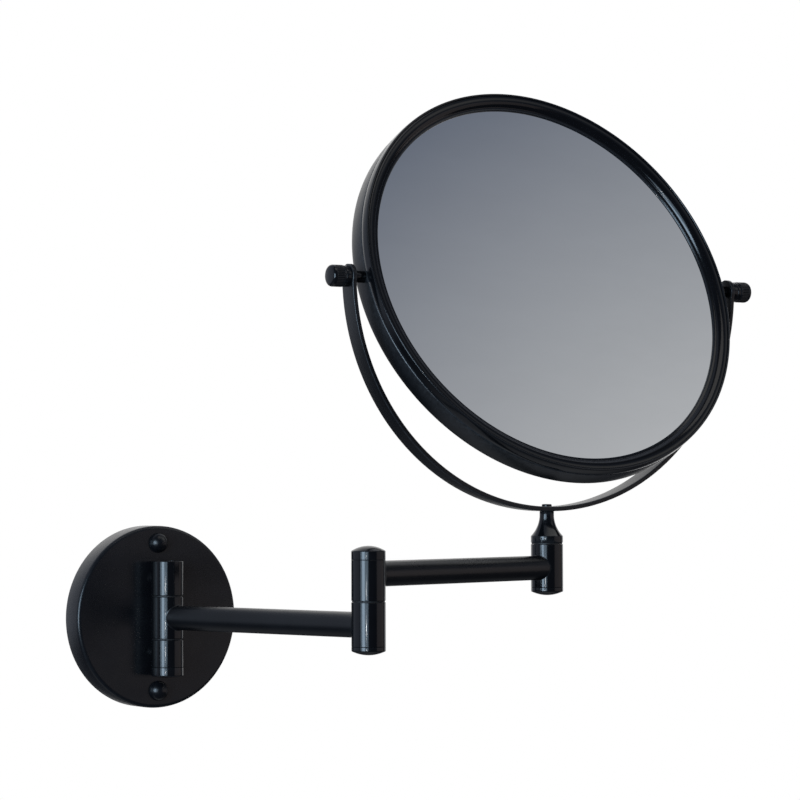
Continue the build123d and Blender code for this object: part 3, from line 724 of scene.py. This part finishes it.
def softbox(name, azimuth, elevation, distance, width, height, radiance, colour):
    """Rectangular lamp that faces the mirror, of a given brightness over its face."""
    data = bpy.data.lights.new(name, "AREA")
    data.shape = "RECTANGLE"
    data.size, data.size_y = width, height
    data.energy = radiance * pi * width * height
    data.color = colour
    lamp = bpy.data.objects.new(name, data)
    toward = direction(azimuth, elevation)
    lamp.location = focus + toward * distance
    lamp.rotation_euler = toward.to_track_quat("Z", "Y").to_euler()
    lamp.visible_camera = False
    scene.collection.objects.link(lamp)


# Azimuth and elevation in degrees, distance, width and height in metres, radiance and colour
softbox("key", -61, 2, 1.3, 1.20, 0.70, 3.0, (0.58, 0.79, 1.0))
softbox("key_core", -66, 2, 1.2, 0.36, 0.66, 6.0, (0.62, 0.81, 1.0))
softbox("warm_side", 50, -3, 1.6, 1.8, 0.8, 0.30, (1.0, 0.88, 0.86))
softbox("top_fill", 12, 66, 1.5, 0.9, 0.7, 0.8, (1.0, 0.98, 0.95))
softbox("glint", -48, -6, 1.7, 0.05, 0.05, 90.0, (1.0, 1.0, 1.0))

# ---------------------------------------------------------------- floor

floor_top, floor_under, floor_radius = -750, -760, 4000
outline = [(0, floor_top), (floor_radius, floor_top), (floor_radius, floor_under), (0, floor_under)]
bm = bmesh.new()
lathe(bm, outline, Vector(), UP, 96)
mesh = bpy.data.meshes.new("floor")
bm.to_mesh(mesh)
bm.free()
floor = bpy.data.objects.new("floor", mesh)
scene.collection.objects.link(floor)
made, nodes, shader, place = material("floor_paint")
mottle = nodes.noise(place, 6, 3)
nodes.feed(shader.inputs["Base Color"], nodes.mix(mottle, (0.78, 0.78, 0.78), (0.82, 0.82, 0.82)))
nodes.feed(shader.inputs["Roughness"], nodes.range(mottle, 0.3, 0.7, 0.6, 0.75))
shader.inputs["Emission Color"].default_value = (0.80, 0.81, 0.82, 1)
shader.inputs["Emission Strength"].default_value = 0.55
mesh.materials.append(made)
floor.visible_glossy = False
floor.visible_diffuse = False

# ---------------------------------------------------------------- surroundings that the object mirrors

world = bpy.data.worlds.new("studio")
world.use_nodes = True
scene.world = world
nodes = Nodes(world.node_tree)
view = nodes.add("ShaderNodeTexCoord").outputs["Generated"]


def off_axis(toward):
    """Angle between a ray and a direction."""
    lobe = nodes.add("ShaderNodeVectorMath", operation="DOT_PRODUCT")
    nodes.feed(lobe.inputs[0], view)
    lobe.inputs[1].default_value = toward
    return nodes.math("ARCCOSINE", lobe.outputs["Value"])


def fade(angle, start, end, smooth=True):
    """Goes from 0 to 1 between two angles in degrees."""
    return nodes.range(angle, radians(start), radians(end), 0, 1, smooth)


# In front of the wall: a dark room with one soft window, which the flat glass mirrors
window = off_axis(direction(42, 28))
panel = nodes.mix(fade(window, 4.0, 17.4, False), (0.62, 0.62, 0.62), (0.10, 0.12, 0.165))
front = nodes.mix(fade(window, 19, 40), panel, (0.035, 0.038, 0.048))
# Behind: a bright sheet in line with the camera that fades away from it and towards the floor
off_sheet = off_axis(-direction(-35, -6))
backdrop = nodes.mix(fade(off_sheet, 28, 62), (0.95, 0.95, 0.95), (0.30, 0.33, 0.40))
from_below = off_axis(-UP)
below = nodes.mix(fade(from_below, 62, 28), (0.025, 0.028, 0.036), (0.24, 0.25, 0.27))
behind = nodes.mix(fade(from_below, 88, 66), backdrop, below)
# The two halves meet softly in the plane of the wall, and the camera itself sees plain white
parts = nodes.add("ShaderNodeSeparateXYZ")
nodes.feed(parts.inputs[0], view)
is_behind = nodes.range(parts.outputs["Y"], -0.10, 0.30, 0, 1, True)
room = nodes.mix(is_behind, front, behind)
to_camera = nodes.add("ShaderNodeLightPath").outputs["Is Camera Ray"]
background = nodes.add("ShaderNodeBackground")
nodes.feed(background.inputs["Color"], nodes.mix(to_camera, room, (1.0, 1.0, 1.0)))
nodes.feed(nodes.add("ShaderNodeOutputWorld").inputs["Surface"], background.outputs["Background"])

scene.view_settings.view_transform = "Standard"
scene.view_settings.look = "None"
